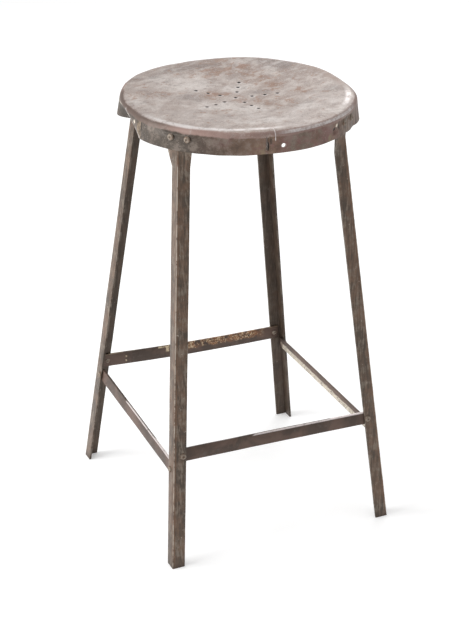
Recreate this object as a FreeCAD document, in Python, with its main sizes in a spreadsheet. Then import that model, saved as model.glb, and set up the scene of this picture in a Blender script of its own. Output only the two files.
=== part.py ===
import FreeCAD, Part
import math
import os
import Sketcher
from FreeCAD import Vector

# Machinist stool of riveted steel: a pressed round seat pan, four splayed legs of
# angle iron, and four flat stretchers low down that tie the legs together.
# Origin on the floor under the middle of the seat, +Z up, millimetres.
# The front is the -Y side, the left is the -X side.

SIZES = {
    # Seat pan, pressed from one sheet, with a shallow dish and a deep skirt
    "seat_diameter": 352.0,
    "seat_height": 660.0,
    "seat_sheet": 1.5,
    "pan_depth": 32.5,
    "shoulder_radius": 8.0,
    "dish_depth": 8.5,
    "dish_turn_radius": 92.0,
    # Vent holes: arms of holes round one hole in the middle
    "vent_diameter": 3.6,
    "vent_arms": 5,
    "vent_rows": 3,
    "vent_first_radius": 24.5,
    "vent_pitch": 18.9,
    "vent_turn": 61.0,
    # Two old holes left empty in the skirt
    "old_hole_diameter": 6.0,
    "old_hole_front_angle": 267.4,
    "old_hole_front_drop": 22.4,
    "old_hole_right_angle": 297.3,
    "old_hole_right_drop": 19.4,
    # Legs of angle iron. The line of a heel meets the skirt's inside at the meet drop, and
    # the flanges begin to spread at the spread drop and lie flat from the open drop up
    "flange_width": 19.4,
    "flange_thickness": 3.0,
    "meet_drop": 40.0,
    "spread_drop": 62.0,
    "open_drop": 22.0,
    "leg_top_drop": 10.5,
    "front_left_foot_x": -182.1,
    "front_left_foot_y": -184.8,
    "front_left_top_angle": 218.4,
    "front_right_foot_x": 181.0,
    "front_right_foot_y": -182.3,
    "front_right_top_angle": 308.6,
    "back_right_foot_x": 184.0,
    "back_right_foot_y": 181.8,
    "back_right_top_angle": 51.3,
    "back_left_foot_x": -184.2,
    "back_left_foot_y": 185.2,
    "back_left_top_angle": 127.1,
    # Stretchers: height of the middle line at each heel, and its rise or sag half way
    "bar_thickness": 3.0,
    "bar_end_clearance": 1.5,
    "bar_pad_clearance": 2.0,
    "front_bar_width": 19.5,
    "front_bar_left_height": 175.2,
    "front_bar_right_height": 173.4,
    "front_bar_bow": 0.5,
    "back_bar_width": 22.5,
    "back_bar_left_height": 176.2,
    "back_bar_right_height": 168.2,
    "back_bar_bow": -2.5,
    "left_bar_width": 19.0,
    "left_bar_front_height": 151.5,
    "left_bar_back_height": 157.5,
    "left_bar_bow": 0.5,
    "right_bar_width": 18.0,
    "right_bar_front_height": 149.0,
    "right_bar_back_height": 149.0,
    "right_bar_bow": 0.5,
    # Rivets, with a dimpled head outside and a low set tail inside
    "shank_diameter": 5.0,
    "hole_clearance": 0.1,
    "head_diameter": 9.8,
    "head_height": 2.5,
    "dimple_diameter": 4.6,
    "dimple_depth": 0.8,
    "tail_diameter": 8.0,
    "tail_height": 1.3,
    "bar_rivet_offset": 14.4,
    "seat_rivet_drop": 15.5,
    "seat_rivet_spacing": 25.4,
    "seat_rivet_turn": 0.9,
    # Play between pieces that lie face to face
    "seating_gap": 0.1,
}

# Each leg by name, with the way it leans in: the sign from its foot to the middle
LEGS = {
    "front_left": (1, 1),
    "front_right": (-1, 1),
    "back_right": (-1, -1),
    "back_left": (1, -1),
}

# Each stretcher by name: the way it runs, the legs at its ends, its height at each
BARS = {
    "front": ("x", "front_left", "front_right", "left_height", "right_height"),
    "back": ("x", "back_left", "back_right", "left_height", "right_height"),
    "left": ("y", "front_left", "back_left", "front_height", "back_height"),
    "right": ("y", "front_right", "back_right", "front_height", "back_height"),
}

doc = FreeCAD.newDocument("machinist_stool")
sheet = doc.addObject("Spreadsheet::Sheet", "Sizes")
for row, (name, value) in enumerate(SIZES.items(), start=1):
    sheet.set(f"A{row}", name)
    sheet.set(f"B{row}", str(value))
    sheet.setAlias(f"B{row}", name)
doc.recompute()


def size(name):
    """A driving dimension as it is written in a formula."""
    return f"Sizes.{name}"


def number(formula):
    """What a formula comes to with the sizes as they are."""
    result = sheet.evalExpression(formula)
    return float(getattr(result, "Value", result))


def place(x, y, z, yaw="0", pitch="0", roll="0"):
    """A place and a turn, as one formula."""
    return f"placement(vector({x}; {y}; {z}); rotation({yaw}; {pitch}; {roll}))"


# Heights and radii that several pieces share
outer_radius = f"({size('seat_diameter')} / 2)"
skirt_inside = f"({outer_radius} - {size('seat_sheet')})"
leg_radius = f"({skirt_inside} - {size('seating_gap')})"
meet_height = f"({size('seat_height')} - {size('meet_drop')})"
spread_height = f"({size('seat_height')} - {size('spread_drop')})"
open_height = f"({size('seat_height')} - {size('open_drop')})"
leg_top = f"({size('seat_height')} - {size('leg_top_drop')})"
half_flange_turn = f"asin({size('flange_width')} / 2 / {leg_radius})"
rivet_hole = f"({size('shank_diameter')} + 2 * {size('hole_clearance')})"
drill_depth = f"({size('flange_thickness')} + {size('bar_thickness')} + {size('seat_sheet')})"


def new_body(label):
    body = doc.addObject("PartDesign::Body", label)
    body.Label = label
    return body


def new_sketch(body, name, where):
    """A sketch in the body, placed by a formula from the body's own level plane."""
    sketch = body.newObject("Sketcher::SketchObject", name)
    plane = [item for item in body.Origin.OriginFeatures if item.Role == "XY_Plane"][0]
    sketch.AttachmentSupport = (plane, [""])
    sketch.MapMode = "FlatFace"
    sketch.setExpression("AttachmentOffset", where)
    return sketch


def bind(sketch, constraint, formula):
    """Add a constraint and tie its value to a formula."""
    index = sketch.addConstraint(constraint)
    sketch.setExpression(f"Constraints[{index}]", formula)


def pin(sketch, edge, end, x, y):
    """Tie one end of an edge to its place, measured from the sketch's origin."""
    bind(sketch, Sketcher.Constraint("DistanceX", -1, 1, edge, end, number(x)), x)
    bind(sketch, Sketcher.Constraint("DistanceY", -1, 1, edge, end, number(y)), y)


def arc_between(start, end, radius, turn):
    """An arc from start to end, turning left (1) or right (-1), and which end is which."""
    chord = end - start
    across = Vector(-chord.y, chord.x, 0).normalize() * turn
    reach = math.sqrt(max(radius ** 2 - chord.Length ** 2 / 4, 0))
    centre = (start + end) / 2 + across * reach
    first, last = (start, end) if turn > 0 else (end, start)
    circle = Part.Circle(centre, Vector(0, 0, 1), radius)
    angles = [math.atan2(point.y - centre.y, point.x - centre.x) for point in (first, last)]
    ends = (1, 2) if turn > 0 else (2, 1)
    return Part.ArcOfCircle(circle, angles[0], angles[1]), ends


def outline(sketch, corners):
    """Draw a closed outline. Each corner is (x, y), or (x, y, radius, turn) if the edge
    that leaves it is an arc; all but the turn are formulas."""
    points = [Vector(number(corner[0]), number(corner[1]), 0) for corner in corners]
    ends = []
    for index, corner in enumerate(corners):
        start = points[index]
        end = points[(index + 1) % len(points)]
        if len(corner) == 2:
            sketch.addGeometry(Part.LineSegment(start, end))
            ends.append((1, 2))
            continue
        arc, arc_ends = arc_between(start, end, number(corner[2]), corner[3])
        sketch.addGeometry(arc)
        ends.append(arc_ends)
    for index, corner in enumerate(corners):
        after = (index + 1) % len(corners)
        sketch.addConstraint(
            Sketcher.Constraint("Coincident", index, ends[index][1], after, ends[after][0])
        )
        pin(sketch, index, ends[index][0], corner[0], corner[1])
        if len(corner) == 4:
            bind(sketch, Sketcher.Constraint("Radius", index, number(corner[2])), corner[2])


def circle(sketch, x, y, diameter):
    index = sketch.addGeometry(
        Part.Circle(Vector(number(x), number(y), 0), Vector(0, 0, 1), number(diameter) / 2)
    )
    pin(sketch, index, 3, x, y)
    bind(sketch, Sketcher.Constraint("Diameter", index, number(diameter)), diameter)


def revolve(body, sketch):
    """Turn a half section about the upright axis of its sketch."""
    turned = body.newObject("PartDesign::Revolution", f"{body.Name}_turned")
    turned.Profile = sketch
    turned.ReferenceAxis = (sketch, ["V_Axis"])
    turned.Angle = 360
    return turned


def loft(body, name, sections):
    """A solid through sections, straight from each to the next."""
    solid = body.newObject("PartDesign::AdditiveLoft", name)
    solid.Profile = sections[0]
    solid.Sections = sections[1:]
    solid.Ruled = True
    return solid


def drill(body, name, where, diameter, depth):
    """A round hole along the axis of a place, as deep on either side of it."""
    sketch = new_sketch(body, f"{name}_circle", where)
    circle(sketch, "0", "0", diameter)
    hole = body.newObject("PartDesign::Pocket", name)
    hole.Profile = sketch
    hole.Midplane = True
    hole.setExpression("Length", f"2 * ({depth})")
    return hole


# Legs: where the heel, the outer corner of the angle iron, stands at any height

def heel_top(leg, axis):
    """The heel where its line meets the inside of the skirt, along x or y."""
    wave = "cos" if axis == "x" else "sin"
    return f"({leg_radius} * {wave}({size(leg + '_top_angle')}))"


def lean(leg, axis):
    """How far the heel moves along x or y for each millimetre of height."""
    foot = size(f"{leg}_foot_{axis}")
    return f"(({heel_top(leg, axis)} - {foot}) / {meet_height})"


def heel(leg, axis, height):
    foot = size(f"{leg}_foot_{axis}")
    return f"({foot} + {lean(leg, axis)} * {height})"


def inward(leg, axis):
    """The sign of the way from the leg to the middle of the stool along x or y."""
    return LEGS[leg][0] if axis == "x" else LEGS[leg][1]


def angle_section(sketch, half_opening):
    """The section of the angle iron, its heel at the origin and opening along x.
    The half opening is 45 degrees for a square angle, and more where it is opened."""
    width = size("flange_width")
    wall = size("flange_thickness")
    tip_x = f"{width} * cos({half_opening})"
    tip_y = f"{width} * sin({half_opening})"
    inner_x = f"({tip_x} + {wall} * sin({half_opening}))"
    inner_y = f"({tip_y} - {wall} * cos({half_opening}))"
    outline(sketch, [
        ("0", "0"),
        (tip_x, f"-{tip_y}"),
        (inner_x, f"-{inner_y}"),
        (f"{wall} / sin({half_opening})", "0"),
        (inner_x, inner_y),
        (tip_x, tip_y),
    ])


def opening_between(closed, opened):
    """An angle of the section where the heel meets the skirt, part of the way open."""
    share = f"(({meet_height} - {spread_height}) / ({open_height} - {spread_height}))"
    return f"({closed} + ({opened} - {closed}) * {share})"


def make_leg(leg):
    """A straight angle iron, spread below the seat to lie flat inside the skirt."""
    body = new_body(f"leg_{leg}")
    square = "45 deg"
    opened = f"(90 deg - {half_flange_turn})"
    diagonal = str(round(math.degrees(math.atan2(LEGS[leg][1], LEGS[leg][0]))))
    facing_in = f"({size(leg + '_top_angle')} - 180)"
    half_turned = opening_between(diagonal, facing_in)
    half_opened = opening_between(square, opened)
    top = (heel_top(leg, "x"), heel_top(leg, "y"))
    foot = (size(f"{leg}_foot_x"), size(f"{leg}_foot_y"))
    spread = (heel(leg, "x", spread_height), heel(leg, "y", spread_height))
    stations = [
        ("foot", *foot, "0", diagonal, square),
        ("spread", *spread, spread_height, diagonal, square),
        ("meet", *top, meet_height, half_turned, half_opened),
        ("open", *top, open_height, facing_in, opened),
        ("top", *top, leg_top, facing_in, opened),
    ]
    sections = []
    for name, x, y, z, yaw, half_opening in stations:
        sketch = new_sketch(body, f"leg_{leg}_{name}", place(x, y, z, yaw))
        angle_section(sketch, half_opening)
        sections.append(sketch)
    loft(body, f"leg_{leg}_iron", sections)
    for name, rivet in RIVETS.items():
        if rivet["leg"] == leg:
            drill(body, f"leg_{leg}_hole_{name}", rivet["where"], rivet_hole, drill_depth)
    return body


# Stretchers: flat bars that lie on the inside of the flanges and lean with them

def bar_height(bar, distance):
    """The height of the bar's middle line, by the distance from the heel it starts at."""
    axis, start_leg, end_leg, start, end = BARS[bar]
    start_height = size(f"{bar}_bar_{start}")
    end_height = size(f"{bar}_bar_{end}")
    span = f"({heel(end_leg, axis, end_height)} - {heel(start_leg, axis, start_height)})"
    return f"({start_height} + ({end_height} - {start_height}) * {distance} / {span})"


def bar_station(bar, from_start, from_end, share, bow):
    """One section of a bar, on a plane square to the way it runs. The share is 0 on the
    flange at its start, 1 on the flange at its end, and between them on the way across."""
    axis, start_leg, end_leg, start, end = BARS[bar]
    across = "y" if axis == "x" else "x"
    start_line = heel(start_leg, axis, size(f"{bar}_bar_{start}"))
    end_line = heel(end_leg, axis, size(f"{bar}_bar_{end}"))
    near_start = f"({start_line} + {from_start})"
    near_end = f"({end_line} - {from_end})"
    along = f"({near_start} * {1 - share} + {near_end} * {share})"
    middle = f"({bar_height(bar, f'({along} - {start_line})')} + {bow})"
    half_width = f"{size(bar + '_bar_width')} / 2"
    side = inward(start_leg, across)
    corners = []
    for depth, edge in (("0", -1), ("bar", -1), ("bar", 1), ("0", 1)):
        height = f"({middle} + {edge} * {half_width})"
        offset = f"({size('flange_thickness')} + {size('seating_gap')})"
        if depth == "bar":
            offset = f"({offset} + {size('bar_thickness')})"
        at_start = heel(start_leg, across, height)
        at_end = heel(end_leg, across, height)
        face = f"({at_start} * {1 - share} + {at_end} * {share} + {side} * {offset})"
        corners.append((face, height))
    return along, corners


def make_bar(bar):
    """A flat bar: straight on each flange, and run across between them with a slight bow."""
    body = new_body(f"stretcher_{bar}")
    axis = BARS[bar][0]
    cut = (f"({size('flange_thickness')} + {size('bar_thickness')}"
           f" + {size('bar_end_clearance')})")
    pad = f"({size('flange_width')} + {size('bar_pad_clearance')})"
    bow = size(f"{bar}_bar_bow")
    stations = [("start", cut, cut, 0, "0"), ("start_pad", pad, pad, 0, "0")]
    for share in (0.25, 0.5, 0.75):
        rise = f"{bow} * {4 * share * (1 - share)}"
        stations.append((f"span_{round(100 * share)}", pad, pad, share, rise))
    stations += [("end_pad", pad, pad, 1, "0"), ("end", cut, cut, 1, "0")]
    sections = []
    for name, from_start, from_end, share, rise in stations:
        along, corners = bar_station(bar, from_start, from_end, share, rise)
        where = place(along, "0", "0", "90", "0", "90")
        if axis == "y":
            where = place("0", along, "0", "0", "0", "90")
        sketch = new_sketch(body, f"stretcher_{bar}_{name}", where)
        outline(sketch, corners)
        sections.append(sketch)
    loft(body, f"stretcher_{bar}_bar", sections)
    for name, rivet in RIVETS.items():
        if rivet["bar"] == bar:
            drill(body, f"stretcher_{bar}_hole_{name}", rivet["where"], rivet_hole, drill_depth)
    return body


# Rivets: the place of each is the middle of its head's seat, with z along its axis outwards

def bar_rivet(bar, leg, distance, height):
    axis = BARS[bar][0]
    across = "y" if axis == "x" else "x"
    outward = -inward(leg, across)
    slope = lean(leg, across)
    step = f"{inward(leg, axis)} * {distance}"
    spot = {axis: f"({heel(leg, axis, height)} + {step})", across: heel(leg, across, height)}
    if axis == "x":
        where = place(spot["x"], spot["y"], height, roll=f"({-outward} * 90 deg - atan({slope}))")
    else:
        where = place(spot["x"], spot["y"], height, pitch=f"({outward} * 90 deg + atan({slope}))")
    stack = f"({size('flange_thickness')} + {size('seating_gap')} + {size('bar_thickness')})"
    grip = f"({stack} * cos(atan({slope})))"
    return {"where": where, "grip": grip, "leg": leg, "bar": bar}


def seat_rivet(leg, side):
    half_spacing = f"asin({size('seat_rivet_spacing')} / 2 / {outer_radius})"
    turn = f"(({size(leg + '_top_angle')} + {size('seat_rivet_turn')}) * 1 deg"
    turn = f"{turn} + {side} * {half_spacing})"
    x = f"{outer_radius} * cos({turn})"
    y = f"{outer_radius} * sin({turn})"
    height = f"{size('seat_height')} - {size('seat_rivet_drop')}"
    flange_inside = f"({leg_radius} * cos({half_flange_turn}) - {size('flange_thickness')})"
    grip = f"({outer_radius} - {flange_inside} + {size('seating_gap')})"
    return {"where": place(x, y, height, turn, "90"), "grip": grip, "leg": leg, "bar": None}


def list_rivets():
    rivets = {}
    offset = size("bar_rivet_offset")
    for bar, (axis, start_leg, end_leg, start, end) in BARS.items():
        for leg, key, sign in ((start_leg, start, 1), (end_leg, end, -1)):
            end_name = key.removesuffix("_height")
            rise = f"{bar_height(bar, offset)} - {size(f'{bar}_bar_{start}')}"
            height = f"({size(f'{bar}_bar_{key}')} + {sign} * ({rise}))"
            rivets[f"rivet_{bar}_stretcher_{end_name}"] = bar_rivet(bar, leg, offset, height)
    for leg in LEGS:
        for number_of_pair, side in ((1, -1), (2, 1)):
            rivets[f"rivet_seat_{leg}_{number_of_pair}"] = seat_rivet(leg, side)
    return rivets


def make_rivet(name, rivet):
    body = new_body(name)
    head = f"{size('head_diameter')} / 2"
    rim = f"{size('dimple_diameter')} / 2"
    top = size("head_height")
    dimple = size("dimple_depth")
    shank = f"{size('shank_diameter')} / 2"
    tail = f"{size('tail_diameter')} / 2"
    tail_height = size("tail_height")
    grip = rivet["grip"]
    dimple_radius = f"(({rim}) ^ 2 + {dimple} ^ 2) / (2 * {dimple})"
    dome_radius = f"sqrt((({head} - {rim}) ^ 2 + {top} ^ 2) / 2)"
    tail_radius = f"(({tail}) ^ 2 + {tail_height} ^ 2) / (2 * {tail_height})"
    sketch = new_sketch(body, f"{name}_section", place("0", "0", "0", roll="90"))
    outline(sketch, [
        ("0", f"{top} - {dimple}", dimple_radius, 1),
        (rim, top, dome_radius, -1),
        (head, "0"),
        (shank, "0"),
        (shank, f"-{grip}"),
        (tail, f"-{grip}", tail_radius, -1),
        ("0", f"-{grip} - {tail_height}"),
    ])
    revolve(body, sketch)
    body.setExpression("Placement", rivet["where"])
    return body


# Seat: the pan's half section, turned about the middle, then its holes

def pan_section(sketch):
    """Sheet of one thickness: dish, rim crest, shoulder and upright skirt."""
    wall = size("seat_sheet")
    top = size("seat_height")
    shoulder = size("shoulder_radius")
    depth = size("dish_depth")
    turn = size("dish_turn_radius")
    crest = f"({outer_radius} - {shoulder})"
    bowl_rise = f"({depth} * {turn} / {crest})"
    rim_run = f"({crest} - {turn})"
    rim_rise = f"({depth} - {bowl_rise})"
    bowl_radius = f"(({turn} ^ 2 + {bowl_rise} ^ 2) / (2 * {bowl_rise}))"
    rim_radius = f"(({rim_run} ^ 2 + {rim_rise} ^ 2) / (2 * {rim_rise}))"
    slope = f"(2 * atan({depth} / {crest}))"
    middle = f"({top} - {depth})"
    turn_height = f"({middle} + {bowl_rise})"
    bottom = f"{top} - {size('pan_depth')}"
    outline(sketch, [
        ("0", middle, bowl_radius, 1),
        (turn, turn_height, rim_radius, -1),
        (crest, top, shoulder, -1),
        (outer_radius, f"{top} - {shoulder}"),
        (outer_radius, bottom),
        (skirt_inside, bottom),
        (skirt_inside, f"{top} - {shoulder}", f"({shoulder} - {wall})", 1),
        (crest, f"{top} - {wall}", f"({rim_radius} - {wall})", 1),
        (
            f"{turn} + {wall} * sin({slope})",
            f"{turn_height} - {wall} * cos({slope})",
            f"({bowl_radius} + {wall})",
            -1,
        ),
        ("0", f"{middle} - {wall}"),
    ])


def pierce(body, sketch, name):
    """Cut the sketch's circles down through the dish."""
    holes = body.newObject("PartDesign::Pocket", name)
    holes.Profile = sketch
    holes.Type = "ThroughAll"
    return holes


def make_seat():
    body = new_body("seat")
    section = new_sketch(body, "seat_section", place("0", "0", "0", roll="90"))
    pan_section(section)
    revolve(body, section)
    level = place("0", "0", size("seat_height"))
    middle = new_sketch(body, "vent_middle_circle", level)
    circle(middle, "0", "0", size("vent_diameter"))
    pierce(body, middle, "vent_middle")
    arm_sketch = new_sketch(body, "vent_arm_circles", level)
    for row in range(round(number(size("vent_rows")))):
        radius = f"({size('vent_first_radius')} + {row} * {size('vent_pitch')})"
        x = f"{radius} * cos({size('vent_turn')})"
        y = f"{radius} * sin({size('vent_turn')})"
        circle(arm_sketch, x, y, size("vent_diameter"))
    arm = pierce(body, arm_sketch, "vent_arm")
    star = body.newObject("PartDesign::PolarPattern", "vent_star")
    star.Originals = [arm]
    star.Axis = (arm_sketch, ["N_Axis"])
    star.Angle = 360
    star.setExpression("Occurrences", size("vent_arms"))
    body.Tip = star
    for name, rivet in RIVETS.items():
        if rivet["bar"] is None:
            drill(body, f"seat_hole_{name}", rivet["where"], rivet_hole, drill_depth)
    for side in ("front", "right"):
        angle = size(f"old_hole_{side}_angle")
        x = f"{outer_radius} * cos({angle})"
        y = f"{outer_radius} * sin({angle})"
        z = f"{size('seat_height')} - {size(f'old_hole_{side}_drop')}"
        where = place(x, y, z, angle, "90")
        drill(body, f"old_hole_{side}", where, size("old_hole_diameter"), drill_depth)
    return body


RIVETS = list_rivets()
pieces = [make_seat()]
pieces += [make_leg(leg) for leg in LEGS]
pieces += [make_bar(bar) for bar in BARS]
pieces += [make_rivet(name, rivet) for name, rivet in RIVETS.items()]
doc.recompute()

for item in doc.Objects:
    if "Invalid" in item.State or "Error" in item.State:
        raise RuntimeError(f"{item.Name} was not made: {item.State}")
for piece in pieces:
    if piece.Shape.isNull() or not piece.Shape.isValid() or len(piece.Shape.Solids) != 1:
        raise RuntimeError(f"{piece.Label} is not one sound solid")

os.makedirs("parts", exist_ok=True)
for piece in pieces:
    piece.Shape.exportStep(f"parts/{piece.Label}.step")
    print(f"{piece.Label}: {piece.Shape.Volume:.0f} cubic millimetres")
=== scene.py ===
# %% [markdown]
# A machinist stool, riveted from pressed sheet and angle iron and worn by decades of use.
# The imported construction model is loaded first. It fixes every size and place, in metres,
# so all that is made here is fitted to it and nothing has to be lined up by eye.

# %% Load the frame
import math
import random

import bpy
from mathutils import Matrix, Vector, noise


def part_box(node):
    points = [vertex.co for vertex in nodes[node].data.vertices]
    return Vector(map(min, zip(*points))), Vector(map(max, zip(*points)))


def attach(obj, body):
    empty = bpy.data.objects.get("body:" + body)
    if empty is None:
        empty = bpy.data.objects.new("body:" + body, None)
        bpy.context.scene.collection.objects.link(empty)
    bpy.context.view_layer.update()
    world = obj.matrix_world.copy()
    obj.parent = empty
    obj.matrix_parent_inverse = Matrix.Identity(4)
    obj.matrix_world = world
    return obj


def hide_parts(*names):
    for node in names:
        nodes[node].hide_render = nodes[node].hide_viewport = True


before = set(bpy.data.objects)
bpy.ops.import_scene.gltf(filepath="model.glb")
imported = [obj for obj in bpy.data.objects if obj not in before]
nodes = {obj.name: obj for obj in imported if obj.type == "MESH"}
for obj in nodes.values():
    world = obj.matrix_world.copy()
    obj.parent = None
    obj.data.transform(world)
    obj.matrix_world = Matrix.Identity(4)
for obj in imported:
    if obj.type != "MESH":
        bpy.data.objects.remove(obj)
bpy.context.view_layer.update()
print("pieces in the frame:", len(nodes))

# %% [markdown]
# The camera comes first, because everything is judged through it. Its angle and distance
# were worked out from the rim of the seat and the four feet. The picture is 635 pixels
# high, and the focal length is given in those pixels, so the lens follows from the two.

# %% Camera
AZIMUTH = math.radians(-24.683)
ELEVATION = math.radians(25.791)
ROLL = math.radians(0.399)
DISTANCE = 2.658
AIM_HEIGHT = 0.29735
AIM_SIDE = 0.00139
FOCAL_PIXELS = 1732.4
PICTURE_HEIGHT_PIXELS = 635
SENSOR_HEIGHT_MM = 36

back = Vector((
    math.sin(AZIMUTH) * math.cos(ELEVATION),
    -math.cos(AZIMUTH) * math.cos(ELEVATION),
    math.sin(ELEVATION),
))
level_right = Vector((math.cos(AZIMUTH), math.sin(AZIMUTH), 0))
level_up = back.cross(level_right)
right = level_right * math.cos(ROLL) + level_up * math.sin(ROLL)
up = level_up * math.cos(ROLL) - level_right * math.sin(ROLL)
eye = Vector((0, 0, AIM_HEIGHT)) + level_right * AIM_SIDE + back * DISTANCE

bpy.ops.object.camera_add()
camera = bpy.context.object
camera.data.sensor_fit = "VERTICAL"
camera.data.sensor_height = SENSOR_HEIGHT_MM
camera.data.lens = FOCAL_PIXELS * SENSOR_HEIGHT_MM / PICTURE_HEIGHT_PIXELS
camera.matrix_world = Matrix.Translation(eye) @ Matrix((right, up, back)).transposed().to_4x4()
bpy.context.scene.camera = camera
print("camera at", tuple(round(value, 3) for value in eye))

# %% [markdown]
# A product picture on white needs a pale floor that runs past the frame and broad, soft
# lights. One large panel on the left models the angle irons, whose left faces are the
# bright ones; one overhead lights the dish of the seat; a weak one at the back right
# draws its far edge; the world fills the shadows.

# %% Floor and lights
FLOOR_SIZE = 40.0
FLOOR_COLOUR = (0.85, 0.85, 0.85, 1)
FLOOR_GLOW = 0.35
WORLD_COLOUR = (1, 1, 1, 1)
WORLD_STRENGTH = 0.50

bpy.ops.mesh.primitive_plane_add(size=FLOOR_SIZE, location=(0, 0, 0))
floor = bpy.context.object
floor.name = "floor"
floor_paint = bpy.data.materials.new("floor_paint")
floor_paint.use_nodes = True
floor_shader = floor_paint.node_tree.nodes["Principled BSDF"]
floor_shader.inputs["Base Color"].default_value = FLOOR_COLOUR
floor_shader.inputs["Roughness"].default_value = 0.9
floor_shader.inputs["Emission Color"].default_value = FLOOR_COLOUR
floor_shader.inputs["Emission Strength"].default_value = FLOOR_GLOW
floor.data.materials.append(floor_paint)

world = bpy.data.worlds.new("studio")
world.use_nodes = True
world.node_tree.nodes["Background"].inputs["Color"].default_value = WORLD_COLOUR
world.node_tree.nodes["Background"].inputs["Strength"].default_value = WORLD_STRENGTH
bpy.context.scene.world = world
bpy.context.scene.view_settings.view_transform = "Standard"
bpy.context.scene.view_settings.look = "None"


def panel(name, place, aim, size, watts):
    """A square light panel that faces a point."""
    bpy.ops.object.light_add(type="AREA", location=place)
    light = bpy.context.object
    light.name = name
    light.data.shape = "SQUARE"
    light.data.size = size
    light.data.energy = watts
    light.rotation_euler = (Vector(aim) - Vector(place)).to_track_quat("-Z", "Y").to_euler()


panel("panel_left", (-3.0, 0.5, 1.5), (0, 0, 0.45), 2.2, 100)
panel("panel_above", (0.2, 0.5, 3.4), (0, 0, 0), 3.0, 28)
panel("panel_right_back", (1.8, 2.2, 1.9), (0, 0, 0.6), 1.4, 15)

# %% [markdown]
# Shader arithmetic reads best as arithmetic. A small class wraps a socket, and each
# operator it overloads adds the Math node for it, so a mask can be written 1 - rust * 0.5.
# A Finish holds one material and makes every other node through a single method.

# %% Shader helpers
def linear(red, green, blue):
    """A screen colour, 0 to 255, as the linear colour that shaders work in."""
    def channel(level):
        share = level / 255
        return share / 12.92 if share <= 0.04045 else ((share + 0.055) / 1.055) ** 2.4
    return (channel(red), channel(green), channel(blue), 1)


class Value:
    """A number that varies over the surface, with arithmetic."""

    def __init__(self, finish, socket):
        self.finish = finish
        self.socket = socket

    def combine(self, operation, first, second):
        node = self.finish.node(
            "ShaderNodeMath", {"operation": operation}, {0: first, 1: second}
        )
        return Value(self.finish, node.outputs[0])

    def __add__(self, other):
        return self.combine("ADD", self, other)

    def __radd__(self, other):
        return self.combine("ADD", other, self)

    def __sub__(self, other):
        return self.combine("SUBTRACT", self, other)

    def __rsub__(self, other):
        return self.combine("SUBTRACT", other, self)

    def __mul__(self, other):
        return self.combine("MULTIPLY", self, other)

    def __pow__(self, other):
        return self.combine("POWER", self, other)

    def __abs__(self):
        return self.combine("ABSOLUTE", self, 0)

    def bearing_from(self, other):
        """The direction, in degrees, of a point this far up and the other far right."""
        return self.combine("ARCTAN2", self, other) * math.degrees(1)


class Finish:
    """One material on the way to being finished."""

    def __init__(self, name):
        self.material = bpy.data.materials.new(name)
        self.material.use_nodes = True
        self.tree = self.material.node_tree
        self.shader = self.tree.nodes["Principled BSDF"]
        self.spot = self.node("ShaderNodeTexCoord").outputs["Object"]

    def node(self, kind, settings=None, sockets=None):
        """Any node: its settings first, then values or links for its sockets."""
        made = self.tree.nodes.new(kind)
        for name, value in (settings or {}).items():
            setattr(made, name, value)
        for key, value in (sockets or {}).items():
            self.feed(made.inputs[key], value)
        return made

    def feed(self, socket, value):
        if isinstance(value, Value):
            value = value.socket
        if isinstance(value, bpy.types.NodeSocket):
            self.tree.links.new(value, socket)
        else:
            socket.default_value = value

    def axes(self):
        """Where a point is, as three numbers in metres."""
        split = self.node("ShaderNodeSeparateXYZ", sockets={0: self.spot})
        return [Value(self, output) for output in split.outputs]

    def attribute(self, name):
        made = self.node("ShaderNodeAttribute", {"attribute_name": name})
        return Value(self, made.outputs["Fac"])

    def stretched(self, turn, scale):
        """The place, turned about the upright axis and scaled by its own amount each way."""
        sizes = tuple(1 / amount for amount in scale)
        made = self.node("ShaderNodeMapping", {"vector_type": "TEXTURE"}, {
            "Vector": self.spot, "Rotation": (0, 0, turn), "Scale": sizes,
        })
        return made.outputs[0]

    def noise(self, scale, detail=4.0, roughness=0.55, at=None, warp=0.0):
        made = self.node("ShaderNodeTexNoise", sockets={
            "Vector": at or self.spot,
            "Scale": scale,
            "Detail": detail,
            "Roughness": roughness,
            "Distortion": warp,
        })
        return Value(self, made.outputs[0])

    def step(self, value, low, high):
        """0 below low and 1 above high, eased between; low may be the larger."""
        made = self.node("ShaderNodeMapRange", {"interpolation_type": "SMOOTHSTEP"}, {
            "Value": value, "From Min": low, "From Max": high, "To Min": 0, "To Max": 1,
        })
        return Value(self, made.outputs[0])

    def near(self, value, middle, reach, core):
        """1 within core of the middle, falling to 0 at reach."""
        return self.step(abs(value - middle), reach, core)

    def mix(self, share, first, second):
        """From the first colour to the second by a share."""
        made = self.node("ShaderNodeMix", {"data_type": "RGBA", "clamp_factor": True}, {
            0: share, 6: first, 7: second,
        })
        return made.outputs[2]

    def coats(self, colour, *layers):
        """The colour with others laid over it in turn, each by its own share."""
        for share, over in layers:
            colour = self.mix(share, colour, over)
        return colour

    def bump(self, height, distance, strength=1.0):
        made = self.node("ShaderNodeBump", sockets={
            "Strength": strength, "Distance": distance, "Height": height,
        })
        self.feed(self.shader.inputs["Normal"], made.outputs[0])

    def set(self, **sockets):
        for name, value in sockets.items():
            self.feed(self.shader.inputs[name.replace("_", " ")], value)


# %% [markdown]
# Modelling by operators acts on whatever is selected, so each step starts clean. These
# helpers keep to that: one piece is active, and vertices are chosen by place in code.

# %% Modelling helpers
def only(piece):
    """Make the piece the one that is selected and active."""
    if bpy.context.mode != "OBJECT":
        bpy.ops.object.mode_set(mode="OBJECT")
    bpy.ops.object.select_all(action="DESELECT")
    piece.select_set(True)
    bpy.context.view_layer.objects.active = piece


def edit_all(piece, kind="VERT"):
    """Edit the piece with everything selected."""
    only(piece)
    bpy.ops.object.mode_set(mode="EDIT")
    bpy.ops.mesh.select_mode(type=kind)
    bpy.ops.mesh.select_all(action="SELECT")


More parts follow.
